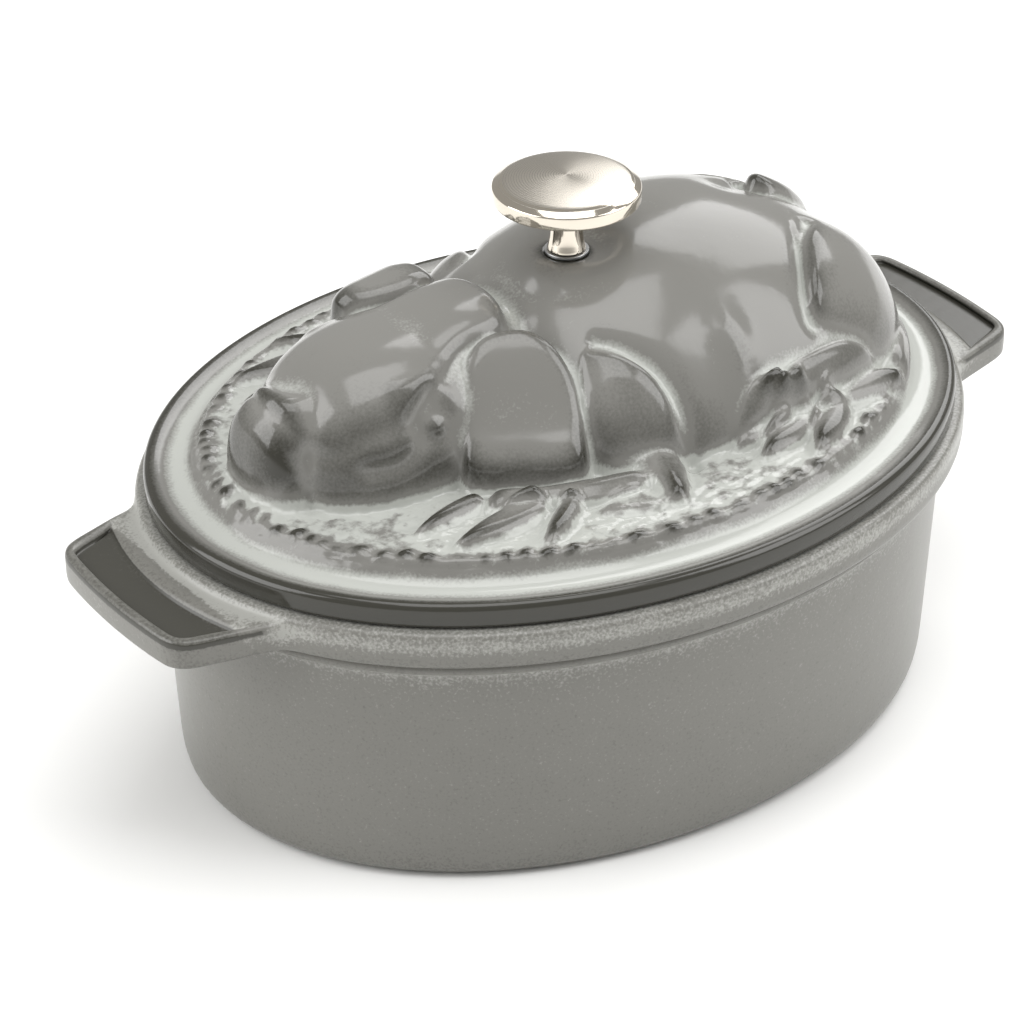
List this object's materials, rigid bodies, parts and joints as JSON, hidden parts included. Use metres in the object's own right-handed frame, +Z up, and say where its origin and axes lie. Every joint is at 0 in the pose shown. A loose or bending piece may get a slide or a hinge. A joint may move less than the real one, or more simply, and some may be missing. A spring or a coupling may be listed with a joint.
{
  "type": "oval cocotte with lid",
  "caption": "Oval cooking pot of enamelled cast iron with tab handles and a lift-off lid that carries a lying pig in relief and a round metal knob.",
  "frame": {"origin": "middle of the pot's base, on the surface it stands on", "axes": "+X along the length, away from the pig's head; +Y across, towards the far side of the picture; +Z up"},
  "size_m": [0.2046, 0.135, 0.1128],
  "materials": {
    "enamel": "glossy translucent grey enamel on cast iron",
    "knob_metal": "nickel-plated, brushed on top and polished on the edge",
    "fastener_steel": "plain stainless steel"
  },
  "bodies": {
    "pot": {"pot": "enamel"},
    "lid": {"lid": "enamel", "knob": "knob_metal", "knob_seat_washer": "fastener_steel", "knob_screw": "fastener_steel", "flat_washer": "fastener_steel", "spring_washer": "fastener_steel"}
  },
  "joints": [
    {"name": "lid_lift", "type": "slide", "parent": "pot", "child": "lid", "axis": [0, 0, 1], "range_m": [0, 0.12]}
  ]
}
